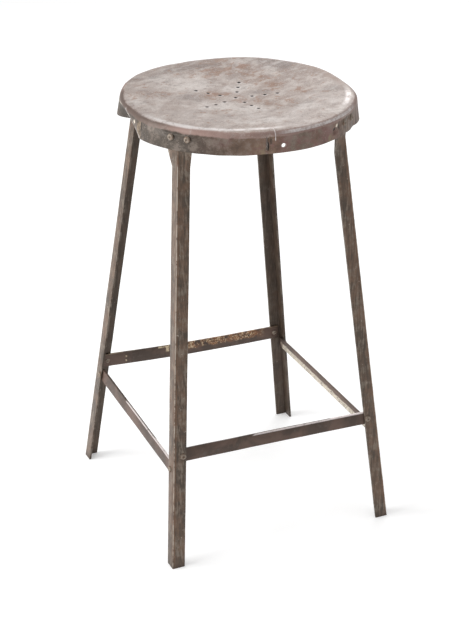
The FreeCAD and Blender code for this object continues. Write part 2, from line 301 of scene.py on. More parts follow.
def lathe(name, profile, steps):
    """A turned shell: one point drawn out along a half section, then spun."""
    bpy.ops.object.select_all(action="DESELECT")
    bpy.ops.mesh.primitive_plane_add(size=0.01)
    piece = bpy.context.object
    piece.name = name
    edit_all(piece)
    bpy.ops.mesh.merge(type="CENTER")
    bpy.ops.transform.translate(value=profile[0])
    for before, after in zip(profile, profile[1:]):
        bpy.ops.mesh.extrude_vertices_move(TRANSFORM_OT_translate={"value": after - before})
    bpy.ops.mesh.select_all(action="SELECT")
    bpy.ops.mesh.spin(steps=steps, angle=math.tau, center=(0, 0, 0), axis=(0, 0, 1))
    bpy.ops.mesh.select_all(action="SELECT")
    bpy.ops.mesh.remove_doubles(threshold=1e-6)
    bpy.ops.mesh.normals_make_consistent(inside=False)
    bpy.ops.object.mode_set(mode="OBJECT")
    return piece


def apply_modifier(piece, kind, **settings):
    only(piece)
    modifier = piece.modifiers.new(kind.title(), kind)
    for name, value in settings.items():
        setattr(modifier, name, value)
    bpy.ops.object.modifier_apply(modifier=modifier.name)


def smooth(piece, degrees):
    only(piece)
    bpy.ops.object.shade_smooth_by_angle(angle=math.radians(degrees))


def stand_for(piece, node, finish):
    """Dress the piece, tie it to the body and let it stand for its node."""
    piece.data.materials.clear()
    piece.data.materials.append(finish.material)
    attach(piece, "root")
    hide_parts(node)


def ease(value, low, high):
    """0 at low and 1 at high, eased between; low may be the larger."""
    share = min(max((value - low) / (high - low), 0), 1)
    return share * share * (3 - 2 * share)


def triangles(piece):
    return sum(len(face.vertices) - 2 for face in piece.data.polygons)


def store(piece, name, values):
    """Keep one number for each vertex, for a finish to read."""
    layer = piece.data.attributes.new(name, "FLOAT", "POINT")
    layer.data.foreach_set("value", values)


# %% [markdown]
# The seat is one sheet, pressed into a shallow dish with a rounded shoulder and a deep
# skirt. A lathe makes that form, and its rings lie close together round the vent holes
# and down the skirt, because lips and dents go there. Bending comes next, while the sheet
# is still a single skin, so that the wall added afterwards keeps one thickness.

# %% Seat: the pressed pan
SHEET = 0.0015
SHOULDER = 0.008
DISH_DEPTH = 0.0085
DISH_TURN = 0.092
VENT_FIELD = 0.069
FINE_RING = 0.0015
COARSE_RING = 0.0036
SHOULDER_RINGS = 9
SKIRT_RINGS = 22
PAN_STEPS = 360

seat_low, seat_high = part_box("seat")
seat_radius = (seat_high[0] - seat_low[0]) / 2
seat_top = seat_high[2]
skirt_bottom = seat_low[2]
crest = seat_radius - SHOULDER
shoulder_foot = seat_top - SHOULDER
skirt_depth = shoulder_foot - skirt_bottom


def dish_height(radius):
    """Two arcs that meet at the turn: a hollow in the middle, then over to the crest."""
    rise = DISH_DEPTH * DISH_TURN / crest
    hollow = (DISH_TURN ** 2 + rise ** 2) / (2 * rise)
    if radius < DISH_TURN:
        return seat_top - DISH_DEPTH + hollow - math.sqrt(hollow ** 2 - radius ** 2)
    run = crest - DISH_TURN
    drop = DISH_DEPTH - rise
    crown = (run ** 2 + drop ** 2) / (2 * drop)
    return seat_top - crown + math.sqrt(crown ** 2 - (crest - radius) ** 2)


def pan_profile():
    radii = [0.0]
    while radii[-1] < crest - COARSE_RING:
        radii.append(radii[-1] + (FINE_RING if radii[-1] < VENT_FIELD else COARSE_RING))
    points = [Vector((radius, 0, dish_height(radius))) for radius in radii]
    for part in range(SHOULDER_RINGS):
        turn = math.radians(90 - 90 * part / (SHOULDER_RINGS - 1))
        points.append(Vector((
            crest + SHOULDER * math.cos(turn), 0, shoulder_foot + SHOULDER * math.sin(turn)
        )))
    for part in range(1, SKIRT_RINGS + 1):
        points.append(Vector((seat_radius, 0, shoulder_foot - skirt_depth * part / SKIRT_RINGS)))
    return points


seat = lathe("seat_pan", pan_profile(), PAN_STEPS)
print("pan vertices:", len(seat.data.vertices))

# %% [markdown]
# The pan has had a hard life. Its left end has been knocked in, and below a sharp slanting
# fold the skirt is tucked under. The front is split, with a tongue beside the split that
# stands a little in. The right end flares out past its leg and is creased. Each is a rule
# that moves a point by its bearing, in degrees with the front at -90, and by its height,
# so that dents run into each other smoothly. A flange behind the skirt holds it out.

# %% Seat: knocks, fold and split
FLANGE_REACH = 7.5
FLANGE_BACKING = 0.0010
LEFT_KNOCK = 0.0088
LEFT_KNOCK_FRONT = (-156, -178)
LEFT_KNOCK_BACK = (-258, -195)
RIGHT_KNOCK = 0.0046
RIGHT_KNOCK_SPAN = (-2, 25)
SOFT_SHOULDER = 0.0055
SOFT_SPAN = (-142, 34)
BACK_SINK = 0.0030
BACK_SINK_SPAN = (-262, 48)
TUCK = math.radians(50)
TUCK_LIFT = 0.4
TUCK_TURN = 3.5
TUCK_END = (-203, -187)
FOLD_FOOT = -166.6
FOLD_RUN = 17.0
FOLD_HINGE = shoulder_foot + 0.002
FLARE = 0.0038
FLARE_SPAN = (-32, 11)
WAIST = 0.0016
WAIST_SPAN = (-42.5, 4.5)
LONG_CREASE = 0.0010
LONG_CREASE_SPAN = (-52.2, 1.8)
SHORT_DENTS = (
    (0.0012, (-59.5, 1.8), (0.008, 0.008)),
    (0.0008, (-163.6, 1.7), (0.006, 0.009)),
    (-0.0012, (-166.8, 2.6), (0.010, 0.013)),
)
TONGUE_DEPTH = 0.0026
TONGUE_RIDGE = -97.3
RIDGE_LEAN = 0.9
RIDGE_DROP = 0.0154
SPLIT_BEARING = -100.2
RIPPLE = 0.0010
VENT_ARMS = 5
VENT_ROWS = 3
VENT_FIRST = 0.0245
VENT_PITCH = 0.0189
VENT_TURN = math.radians(61)
VENT_RADIUS = 0.0018
VENT_LIP = 0.0009
OLD_HOLE_RADIUS = 0.003
OLD_HOLES = ((-92.6, 0.6376), (-62.7, 0.6406))
PUNCH_DEPTH = 0.0022
PUNCH_REACH = 0.0075
PIT_PLACE = Vector((-0.1535, -0.0095))
PIT_DEPTH = 0.0010


def bearing(point):
    """The direction of a point from the middle, from -330 to 30 degrees."""
    degrees = math.degrees(math.atan2(point.y, point.x))
    return degrees - 360 if degrees > 30 else degrees


def hump(value, middle, half_width):
    """1 in the middle, falling smoothly to 0 at either side."""
    away = min(abs(value - middle) / half_width, 1)
    return (1 - away * away) ** 2


def leg_bearing(name):
    rim = [v.co for v in nodes[name].data.vertices if v.co.z > skirt_bottom + 0.01]
    return bearing(sum(rim, Vector()) / len(rim))


leg_bearings = [leg_bearing(name) for name in sorted(nodes) if name.startswith("leg_")]
vents = [Vector((0, 0))]
for arm in range(VENT_ARMS):
    heading = VENT_TURN + math.tau * arm / VENT_ARMS
    for row in range(VENT_ROWS):
        reach = VENT_FIRST + VENT_PITCH * row
        vents.append(Vector((math.cos(heading), math.sin(heading))) * reach)


def fold_bearing(below):
    """Where the slanting fold at the left end lies, at this distance below its hinge."""
    return FOLD_FOOT - FOLD_RUN * (1 - min(below / skirt_depth, 1)) ** 1.3


def tongue_edge(height):
    """The bearing of the ridge that ends the tongue beside the split."""
    return TONGUE_RIDGE + RIDGE_LEAN * (seat_top - height) / RIDGE_DROP


def rim_push(turn, down):
    """How far the rim is knocked in; down is 0 at the shoulder's foot, 1 at the bottom."""
    left = LEFT_KNOCK * ease(turn, *LEFT_KNOCK_FRONT) * ease(turn, *LEFT_KNOCK_BACK)
    left *= 1 - 0.5 * down * ease(turn, -190, -200)
    right = RIGHT_KNOCK * hump(turn, *RIGHT_KNOCK_SPAN)
    soft = SOFT_SHOULDER * hump(turn, *SOFT_SPAN) * ease(down, 0.35, -0.2)
    return left + right + soft


def crease_depth(turn, height):
    """Upright creases, the pit of the old hole, and the tongue, deepest at the split."""
    below = shoulder_foot - height
    depth = LONG_CREASE * hump(turn, *LONG_CREASE_SPAN) * ease(below, 0, 0.006)
    for dent_depth, span, drop in SHORT_DENTS:
        depth += dent_depth * hump(turn, *span) * hump(below, *drop)
    across = math.radians(turn - OLD_HOLES[1][0]) * seat_radius
    depth += PUNCH_DEPTH * hump(math.hypot(across, height - OLD_HOLES[1][1]), 0, PUNCH_REACH)
    edge = tongue_edge(height)
    slope = ease(turn, edge, SPLIT_BEARING + 0.5) * ease(turn, SPLIT_BEARING - 0.3, SPLIT_BEARING)
    depth += TONGUE_DEPTH * slope * ease(height, 0.658, 0.648) * ease(height, 0.629, 0.638)
    return depth


def bend(point):
    """Where a point of the new pan has ended up."""
    radius = point.xy.length
    if radius < DISH_TURN * 0.9:
        return point
    turn = bearing(point)
    share = ease(radius, DISH_TURN * 0.9, crest)
    down = (shoulder_foot - point.z) / skirt_depth
    push = rim_push(turn, down)
    height = point.z - BACK_SINK * hump(turn, *BACK_SINK_SPAN) * share
    if radius > crest:
        below = max(FOLD_HINGE - point.z, 0)
        tucked = ease(turn, fold_bearing(below), fold_bearing(below) - TUCK_TURN)
        tucked *= ease(turn, *TUCK_END) * TUCK
        push += below * math.sin(tucked)
        height += below * (1 - math.cos(tucked)) * TUCK_LIFT
        push += crease_depth(turn, point.z)
        push += WAIST * max(down, 0) * hump(turn, *WAIST_SPAN)
        backed = max(ease(abs(turn - leg), FLANGE_REACH + 3, FLANGE_REACH) for leg in leg_bearings)
        backed *= ease(point.z, shoulder_foot + 0.0015, shoulder_foot - 0.0025)
        push += (min(push, FLANGE_BACKING) - push) * backed
        push -= FLARE * max(down, 0) * hump(turn, *FLARE_SPAN)
    flat = point.xy * (radius - push * share) / radius
    return Vector((flat.x, flat.y, height))


def dent(point):
    """Slow ripples over the whole pan, a lip pressed down round each vent, and one pit."""
    ripple = noise.noise(Vector((point.x, point.y, 0)) * 14) * RIPPLE
    ripple += noise.noise(Vector((point.x, point.y, 3)) * 45) * RIPPLE * 0.35
    height = point.z + ripple
    for vent in vents:
        away = (vent - point.xy).length
        if away < 0.008:
            height -= VENT_LIP * math.exp(-(away / 0.0032) ** 2)
    pit = (PIT_PLACE - point.xy).length
    height -= PIT_DEPTH * math.exp(-(pit / 0.003) ** 2)
    return Vector((point.x, point.y, height))


# Marks are kept before bending, because the finish reads them by the pan's first form.
fold_highlight_marks = []
tuck_marks = []
rim_marks = []
for vertex in seat.data.vertices:
    turn = bearing(vertex.co)
    below = FOLD_HINGE - vertex.co.z
    on_skirt = vertex.co.xy.length > crest
    fold = fold_bearing(max(below, 0))
    # The fold mark places a painted highlight along the fold.
    on_fold = hump(turn, fold + 0.3, 1.3) * ease(below, -0.004, 0.001)
    in_tuck = ease(turn, fold - 1, fold - 4)
    in_tuck *= ease(turn, -206, -192) * ease(below, 0.002, 0.016)
    fold_highlight_marks.append(on_fold if on_skirt else 0)
    tuck_marks.append(in_tuck if on_skirt else 0)
    rim_marks.append(ease(vertex.co.xy.length, crest, crest + 0.005))
    vertex.co = dent(bend(vertex.co))
store(seat, "fold", fold_highlight_marks)
store(seat, "tucked", tuck_marks)
store(seat, "rim", rim_marks)
overshoot = max(vertex.co.z for vertex in seat.data.vertices) - seat_top
for vertex in seat.data.vertices:
    vertex.co.z -= max(overshoot, 0)
one_skin = len(seat.data.vertices)
apply_modifier(seat, "SOLIDIFY", thickness=SHEET, offset=-1, use_even_offset=False)
store(seat, "inside", [float(index >= one_skin) for index in range(len(seat.data.vertices))])
print("legs bear", [round(leg, 1) for leg in leg_bearings], "overshoot", round(overshoot, 5))

# %% [markdown]
# Holes are cut last, with one set of cutters. Vents go straight down through the dish, the
# split is cut by a narrow wedge, and the old rivet hole at the front points at the middle.
# The other old hole stays a blind pit, because no light comes through it in the picture.

# %% Seat: holes
SPLIT_WIDTH = 0.0013
SPLIT_TOP = 0.6520
SPLIT_BOTTOM = 0.6330
SPLIT_LEAN = math.radians(-4)
CUT_LENGTH = 0.02


def cutter(place, radius, length, turn=(0, 0, 0)):
    bpy.ops.mesh.primitive_cylinder_add(
        vertices=28, radius=radius, depth=length, location=place, rotation=turn
    )
    return bpy.context.object


def on_rim(angle, height):
    return (seat_radius * math.cos(angle), seat_radius * math.sin(angle), height)


cutters = [
    cutter((vent.x, vent.y, seat_top - 0.006), VENT_RADIUS, CUT_LENGTH) for vent in vents
]
open_angle = math.radians(OLD_HOLES[0][0])
place = on_rim(open_angle, OLD_HOLES[0][1])
cutters.append(cutter(place, OLD_HOLE_RADIUS, CUT_LENGTH, (0, math.pi / 2, open_angle)))
split_angle = math.radians(SPLIT_BEARING)
bpy.ops.mesh.primitive_cone_add(
    vertices=4, radius1=SPLIT_WIDTH, radius2=SPLIT_WIDTH * 0.25, depth=SPLIT_TOP - SPLIT_BOTTOM,
    location=on_rim(split_angle, (SPLIT_TOP + SPLIT_BOTTOM) / 2),
)
split = bpy.context.object
split.scale = (6, 1, 1)
split.rotation_euler = (SPLIT_LEAN, 0, split_angle)
bpy.ops.object.transform_apply(location=False, rotation=True, scale=True)
cutters.append(split)
bpy.ops.object.select_all(action="DESELECT")
for tool in cutters:
    tool.select_set(True)
bpy.context.view_layer.objects.active = cutters[0]
bpy.ops.object.join()
hole_cutter = bpy.context.object
apply_modifier(seat, "BOOLEAN", object=hole_cutter, operation="DIFFERENCE", solver="EXACT")
bpy.data.objects.remove(hole_cutter)
smooth(seat, 40)
vent_marks = []
lip_highlight_marks = []
for vertex in seat.data.vertices:
    nearest = min(vents, key=lambda vent: (vent - vertex.co.xy).length)
    away = vertex.co.xy - nearest
    vent_marks.append(ease(away.length, 0.0031, 0.0021))
    # The lip mark covers the near edge of each vent, where a highlight is painted.
    lip_highlight_marks.append(hump(away.length, 0.0040, 0.0022) * ease(-away.y, 0.0005, 0.0030))
store(seat, "vent", vent_marks)
store(seat, "lip", lip_highlight_marks)
print("seat triangles:", triangles(seat))

# %% [markdown]
# The finish of the seat is bare steel under a brown patina. Clothes have rubbed the dish
# to a mottled grey, with pale clouds where it is cleanest and brown, rust and soot where
# it is not. Those clouds have their places on the real seat, so each kind is a short list
# of ovals, kept as a number at each vertex. The shader then breaks their edges with noise.

# %% Seat: where the patina lies
PALE_CLOUDS = (
    ((-0.045, 0.080), (0.046, 0.036)),
    ((0.020, 0.036), (0.026, 0.016)),
    ((-0.042, -0.030), (0.038, 0.022)),
    ((-0.012, -0.062), (0.030, 0.022)),
    ((-0.015, -0.128), (0.046, 0.014)),
    ((0.065, -0.092), (0.020, 0.014)),
    ((0.105, -0.128), (0.028, 0.014)),
    ((0.092, 0.075), (0.014, 0.024)),
    ((-0.146, 0.020), (0.012, 0.032)),
    ((0.062, 0.132), (0.014, 0.012)),
)
BROWN_CLOUDS = (
    ((0.010, 0.104), (0.060, 0.026)),
    ((0.066, 0.040), (0.026, 0.044)),
    ((0.046, -0.046), (0.026, 0.036)),
    ((-0.052, -0.056), (0.026, 0.012)),
    ((-0.022, 0.020), (0.026, 0.018)),
    ((0.100, -0.018), (0.016, 0.016)),
    ((0.000, -0.004), (0.014, 0.016)),
    ((0.060, 0.100), (0.022, 0.030)),
    ((-0.110, 0.040), (0.040, 0.016)),
    ((0.040, 0.150), (0.040, 0.012)),
)
SOOT_CLOUDS = (
    ((-0.113, 0.110), (0.020, 0.010)),
    ((-0.015, 0.134), (0.050, 0.014)),
    ((0.110, 0.104), (0.026, 0.030)),
    ((0.142, -0.040), (0.022, 0.012)),
    ((0.042, 0.006), (0.018, 0.010)),
    ((-0.082, 0.114), (0.010, 0.010)),
    ((-0.060, 0.020), (0.030, 0.014)),
    ((0.062, -0.076), (0.026, 0.010)),
)


def in_clouds(point, clouds):
    """How much a point lies in any of the ovals: 1 inside, 0 well outside."""
    share = 0
    for (x, y), (half_x, half_y) in clouds:
        away = math.hypot((point.x - x) / half_x, (point.y - y) / half_y)
        share = max(share, ease(away, 1.7, 0.4))
    return share


for cloud_name, clouds in (
    ("pale", PALE_CLOUDS), ("brown", BROWN_CLOUDS), ("soot", SOOT_CLOUDS)
):
    store(seat, cloud_name, [in_clouds(vertex.co, clouds) for vertex in seat.data.vertices])
print("clouds on the seat:", len(PALE_CLOUDS) + len(BROWN_CLOUDS) + len(SOOT_CLOUDS))

# %% [markdown]
# The rest of the seat's marks go by its form, so the shader works it out from the place:
# the crest, the back rim and the front right of the shoulder are rubbed bright and carry a
# painted highlight, the shoulder shows a pinkish band, the skirt has stayed dark and is
# painted darker still as shade at the left end and inside, a bright line runs down the ridge
# of the tongue, and the split, creases and tuck are darkened with painted shade. Each of
# these has its own function, and all of them read the same noises.

# %% Seat: finish
TOP_BASE = linear(176, 164, 158)
TOP_BACK = linear(142, 127, 120)
TOP_PALE = linear(212, 205, 200)
TOP_BROWN = linear(150, 128, 115)
TOP_SOOT = linear(104, 92, 88)
TOP_RUST = linear(150, 112, 90)
CREST_BRIGHT = linear(228, 222, 220)
SHOULDER_PINK = linear(136, 107, 98)
SKIRT_BROWN = linear(116, 91, 76)
SKIRT_RED = linear(122, 90, 84)
SKIRT_OLIVE = linear(104, 95, 80)
# A dark colour for painted shade at the left end and inside the pan.
SKIRT_SHADE = linear(66, 57, 48)
SKIRT_PALE = linear(150, 136, 126)
# A dark colour for real dirt and mottling, and for painted shade in recesses and the pit.
DIRT_AND_SHADE = linear(34, 26, 20)
GLINT = linear(224, 214, 196)
PATCH_TAN = linear(132, 114, 92)
# Each crease: its bearing, half width in degrees, and lowest and highest point.
CREASES = (
    (-52.6, 0.8, 0.632, 0.656),
    (-59.2, 0.6, 0.637, 0.656),
    (-163.7, 0.7, 0.638, 0.654),
)
# Each tan patch: its bearing, the half widths of its reach and core, the heights where it
# starts and where it is full, and its strength.
TAN_PATCHES = (
    (-103.5, 3.2, 1.4, 0.646, 0.636, 1.0),
    (-65.5, 3.2, 0.8, 0.6395, 0.635, 1.0),
    (-166.0, 2.4, 0.8, 0.670, 0.660, 0.9),
    (-98.0, 2.2, 0.8, 0.6515, 0.649, 1.0),
)
GROOVE = -98.4
KNUCKLE = (-171.5, 0.6455)
HINGE_LINE = 0.6492
RIDGE_LINE_TOP = -96.6
RIDGE_LINE_LEAN = 10.0
RIDGE_LINE_END = 0.6446
DEGREE_ON_RIM = 0.00305


class Surface:
    """Where a point of the seat is, and the noises there from coarse to fine."""

    def __init__(self, finish):
        self.x, self.y, self.z = finish.axes()
        self.radius = (self.x * self.x + self.y * self.y) ** 0.5
        turn = self.y.bearing_from(self.x)
        self.turn = turn - finish.step(turn, 29.9, 30.1) * 360
        self.rim = finish.attribute("rim")
        self.inside = finish.attribute("inside")
        self.clouds = finish.noise(15, 6, 0.60, warp=0.3)
        self.blotches = finish.noise(44, 6, 0.64, warp=0.3)
        self.patches = finish.noise(95, 5, 0.62, warp=0.2)
        self.grain = finish.noise(240, 5, 0.7)
        self.specks = finish.noise(640, 3, 0.6)
        self.ragged = self.blotches * 0.40 + self.patches * 0.32 + self.grain * 0.28 - 0.5
        self.height = self.z + (self.blotches - 0.5) * 0.005 + (self.patches - 0.5) * 0.003


def dish_colour(finish, here):
    """The rubbed dish, and how rusty it is."""
    back = finish.step(here.y + here.x * 0.55 + here.ragged * 0.25, 0.05, 0.14)
    mottle = finish.step(here.ragged + (here.clouds - 0.5) * 0.6, -0.10, 0.10)
    soot = finish.step(finish.attribute("soot") * 0.6 + here.ragged * 3.4, 0.05, 0.95)
    brown = finish.step(finish.attribute("brown") * 0.6 + here.ragged * 3.4, 0.0, 1.0)
    pale = finish.step(finish.attribute("pale") * 0.6 + here.ragged * 3.6, 0.05, 0.95)
    streaked = finish.stretched(-AZIMUTH, (34, 62, 40))
    rubbed = finish.noise(1.0, 5, 0.62, at=streaked, warp=0.4)
    light_rub = finish.step(rubbed * 0.7 + here.grain * 0.3, 0.50, 0.60)
    dark_rub = finish.step(rubbed * 0.4 + here.patches * 0.3 + here.grain * 0.3, 0.49, 0.40)
    rust = finish.step(finish.noise(58, 6, 0.72, warp=0.4) + brown * 0.14, 0.56, 0.68)
    fine = here.specks * 0.5 + here.grain * 0.5
    top = finish.coats(
        TOP_BASE,
        (back * 0.85, TOP_BACK),
        ((1 - mottle) * 0.45, TOP_BROWN),
        (soot * 0.58, TOP_SOOT),
        (brown * 0.62, TOP_BROWN),
        (pale * 0.75, TOP_PALE),
        (light_rub * 0.40, TOP_PALE),
        (dark_rub * 0.38, TOP_SOOT),
        (rust * 0.55, TOP_RUST),
        (finish.step(fine, 0.52, 0.64) * 0.55, TOP_SOOT),
        (finish.step(fine, 0.48, 0.37) * 0.55, TOP_PALE),
        # The near edge of each vent gets a painted highlight, and a dark ring is painted round
        # each hole.
        (finish.attribute("lip") * 0.7, CREST_BRIGHT),
        (finish.attribute("vent"), DIRT_AND_SHADE),
    )
    return top, rust


def shoulder_colour(finish, here, top):
    """The band below the crest over the dish's colour, and how bright it is, by wear and painted
    highlight.
    """
    front_right = finish.step(here.turn, -104, -84) * finish.step(here.turn, -36, -50)
    band = finish.step(here.height, 0.6594, 0.6576) * here.rim
    pink = band * finish.step(here.clouds * 0.5 + here.patches * 0.5, 0.32, 0.50)
    left_end = finish.step(here.turn, -138, -156) * finish.step(here.turn, -216, -202)
    at_right = finish.step(here.x, 0.135, 0.160) * finish.step(here.y, -0.09, -0.04) * 0.45
    on_crest = finish.step(here.radius, 0.1565, 0.1615) * finish.step(here.radius, 0.1685, 0.1645)
    on_crest = on_crest * finish.step(here.y, -0.02, -0.08) * (1 - front_right)
    on_shoulder = finish.step(here.z, 0.6534, 0.6548) * finish.step(here.z, 0.6584, 0.6566)
    on_shoulder = on_shoulder * here.rim * front_right * finish.step(here.turn, -99, -88)
    at_back = finish.step(here.radius, 0.1655, 0.1680) * finish.step(here.y, 0.06, 0.12) * 0.5
    broken = finish.step(here.patches * 0.5 + here.grain * 0.5, 0.34, 0.52)
    flecked = finish.step(here.grain * 0.6 + here.patches * 0.4, 0.40, 0.60)
    # The crest, the back rim and the front right of the shoulder are painted bright, partly as
    # wear and partly as a painted highlight.
    rubbed = (on_crest * 0.85 + at_back) * broken + on_shoulder * (0.35 + flecked * 0.65)
    top = finish.coats(
        top,
        (pink * 0.80, SHOULDER_PINK),
        # The left end of the shoulder band is painted darker as shade.
        (band * left_end * 0.7, SKIRT_SHADE),
        (at_right * finish.step(here.radius, 0.148, 0.160), TOP_BROWN),
        (rubbed * 0.9, CREST_BRIGHT),
    )
    return top, rubbed


def skirt_colour(finish, here):
    """The dark skirt, mottled, with its tan patches."""
    reddish = finish.step(here.clouds * 0.6 + here.blotches * 0.4, 0.44, 0.56)
    olive = finish.step(here.patches * 0.4 + here.clouds * 0.6, 0.50, 0.60)
    at_left = finish.step(here.x + (here.clouds - 0.5) * 0.08, -0.04, -0.13)
    light = finish.step(here.grain * 0.6 + here.specks * 0.4, 0.46, 0.34)
    tan = 0
    for place, reach, core, start, full, strength in TAN_PATCHES:
        patch = finish.near(here.turn, place, reach, core) * finish.step(here.z, start, full)
        tan = tan + patch * strength
    return finish.coats(
        SKIRT_BROWN,
        (reddish, SKIRT_RED),
        (olive * 0.7, SKIRT_OLIVE),
        # The left end of the skirt is painted darker as shade.
        (at_left, SKIRT_SHADE),
        (finish.step(here.ragged, -0.02, 0.09) * 0.40, SKIRT_PALE),
        (finish.step(here.ragged, -0.01, -0.10) * 0.35, DIRT_AND_SHADE),
        (tan * finish.step(here.patches * 0.6 + here.grain * 0.4, 0.38, 0.60), PATCH_TAN),
        (finish.step(here.grain, 0.54, 0.70) * 0.35, DIRT_AND_SHADE),
        (light * 0.35, TOP_BASE),
    )


def skirt_marks(finish, here, skirt):
    """Painted shade in the split, creases, tuck and old hole, streaks at the right end, and
    painted highlights by the hole and on the knuckle.
    """
    # The split, the groove by the tongue, the creases and the tucked-under skirt are darkened with
    # painted shade.
    gape = finish.near(here.z, 0.6395, 0.0075, 0.0020) * 0.60
    split = abs(here.turn - SPLIT_BEARING + (here.z - 0.642) * 40) - gape
    crack = finish.step(split, 0.34, 0.12)
    crack = crack * finish.step(here.z, 0.6535, 0.6515) * finish.step(here.z, 0.6310, 0.6330)
    groove = finish.near(here.turn, GROOVE, 0.8, 0.2) * finish.near(here.z, 0.6450, 0.006, 0.003)
    recess_shade = crack * 1.6 + groove * 0.7
    wavering = here.turn + (here.patches - 0.5) * 1.4
    for crease, half, low, high in CREASES:
        reach = (high - low) / 2
        upright = finish.near(here.z, low + reach, reach, reach * 0.5)
        recess_shade = recess_shade + finish.near(wavering, crease, half, half * 0.2) * upright
    recess_shade = recess_shade + finish.attribute("tucked") * finish.step(here.ragged, -0.12, 0.08) * 0.9
    right_end = finish.step(here.turn, -62, -55) * finish.step(here.turn, -4, -20)
    streaks = finish.noise(1.0, 5, 0.7, at=finish.stretched(0, (230, 230, 34)), warp=0.3)

    def spot(degrees, height, size):
        """A ragged round mark on the skirt."""
        across = (here.turn - degrees) * DEGREE_ON_RIM
        upward = here.z - height
        away = (across * across + upward * upward) ** 0.5
        return finish.step(away + (here.grain - 0.5) * 0.002, size, size * 0.5)

    hole_turn, hole_height = OLD_HOLES[1]
    return finish.coats(
        skirt,
        (recess_shade * (0.55 + here.grain * 0.6), DIRT_AND_SHADE),
        (right_end * finish.step(streaks, 0.53, 0.62) * 0.40, TOP_BASE),
        (right_end * finish.step(streaks, 0.48, 0.40) * 0.75, DIRT_AND_SHADE),
        (right_end * finish.step(here.turn, -32, -38) * 0.30, SKIRT_OLIVE),
        # The old hole's pit is painted dark as shade with a painted highlight above it, and the
        # knuckle of the fold gets a painted highlight.
        (spot(hole_turn, hole_height + 0.001, 0.0036) * 0.9, DIRT_AND_SHADE),
        (spot(hole_turn + 1.4, hole_height + 0.0055, 0.0030), GLINT),
        (spot(*KNUCKLE, 0.0034) * 0.85, GLINT),
    )


def bright_lines(finish, here, colour):
    """Painted highlights along the hinge of the tuck and the fold, and a bright line down the
    ridge of the tongue.
    """
    hinge = finish.near(here.z + (here.patches - 0.5) * 0.001, HINGE_LINE, 0.0011, 0.0004)
    hinge = hinge * finish.step(here.turn, -206, -201) * finish.step(here.turn, -177, -181)
    hinge = hinge * here.rim * (1 - here.inside)
    patchy = finish.step(here.patches * 0.6 + here.grain * 0.4, 0.40, 0.56)
    ridge_line = abs(here.turn - RIDGE_LINE_TOP - (seat_top - here.z) * RIDGE_LINE_LEAN)
    ridge_line = finish.step(ridge_line + (here.grain - 0.5) * 0.5, 0.26, 0.08)
    ridge_line = ridge_line * finish.step(here.z, RIDGE_LINE_END, RIDGE_LINE_END + 0.002)
    ridge_line = ridge_line * finish.step(here.radius, 0.164, 0.1665)
    return finish.coats(
        colour,
        (hinge * 0.6, GLINT),
        (finish.attribute("fold") * patchy * 0.65, CREST_BRIGHT),
        (ridge_line * 0.8, CREST_BRIGHT),
    )


def seat_finish():
    finish = Finish("worn_seat_steel")
    here = Surface(finish)
    top, rust = dish_colour(finish, here)
    top, rubbed = shoulder_colour(finish, here, top)
    skirt = skirt_marks(finish, here, skirt_colour(finish, here))
    on_skirt = finish.step(here.height, 0.6524, 0.6502) * here.rim
    # The inner skin of the pan is painted darker as shade.
    colour = finish.coats(top, (on_skirt, skirt), (here.inside * 0.7, SKIRT_SHADE))
    finish.set(Base_Color=bright_lines(finish, here, colour))
    finish.set(Roughness=0.50 + (here.blotches - 0.5) * 0.3 - rubbed * 0.14 + rust * 0.2)
    finish.set(Metallic=0.30 + rubbed * 0.3 - rust * 0.2)
    relief = here.clouds * 0.45 + here.blotches * 0.32 + here.patches * 0.12
    finish.bump(relief + here.grain * 0.08 + here.specks * 0.03, 0.0018, 0.5)
    return finish


stand_for(seat, "seat", seat_finish())

# %% [markdown]
# Angle iron and flat bar are straight stock, so the construction model already has their
# exact form. Each is copied, its loose triangles are merged, and cuts are made along it.
# The sharp edges are then bevelled to the small radius that rolled stock has, and every
# point is nudged by slow noise, because no old iron is dead straight.

# %% Legs and stretchers: rolled stock
EDGE_RADIUS = 0.0008
LEG_CUT = 0.016
BAR_CUT = 0.014
WANDER = 0.00022


def stock(node, axis, spacing):
    """A copy of a straight piece, cut across every so often, with softened edges."""
    mesh = nodes[node].data.copy()
    piece = bpy.data.objects.new(f"{node}_worn", mesh)
    bpy.context.scene.collection.objects.link(piece)
    edit_all(piece)
    bpy.ops.mesh.remove_doubles(threshold=2e-6)
    bpy.ops.mesh.dissolve_limited(angle_limit=math.radians(0.3))
    low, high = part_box(node)
    along = Vector([1.0 if index == axis else 0.0 for index in range(3)])
    cuts = int((high[axis] - low[axis]) / spacing)
    for cut in range(1, cuts):
        bpy.ops.mesh.select_all(action="SELECT")
        place = low[axis] + (high[axis] - low[axis]) * cut / cuts
        bpy.ops.mesh.bisect(plane_co=along * place, plane_no=along)
    bpy.ops.mesh.select_mode(type="EDGE")
    bpy.ops.mesh.select_all(action="DESELECT")
    bpy.ops.mesh.edges_select_sharp(sharpness=math.radians(40))
    bpy.ops.mesh.bevel(offset=EDGE_RADIUS, segments=2, affect="EDGES", clamp_overlap=True)
    bpy.ops.object.mode_set(mode="OBJECT")
    for vertex in piece.data.vertices:
        vertex.co += noise.noise_vector(vertex.co * 28) * WANDER
        vertex.co.z = max(vertex.co.z, 0)
    smooth(piece, 35)
    return piece


def level(node, height):
    """The corners of a leg at one height, as its lowest and highest x and y."""
    rim = [v.co for v in nodes[node].data.vertices if abs(v.co.z - height) < 1e-5]
    return (
        Vector((min(p.x for p in rim), min(p.y for p in rim))),
        Vector((max(p.x for p in rim), max(p.y for p in rim))),
    )


LEG_NAMES = ("front_left", "front_right", "back_right", "back_left")
SPREAD_HEIGHT = 0.598


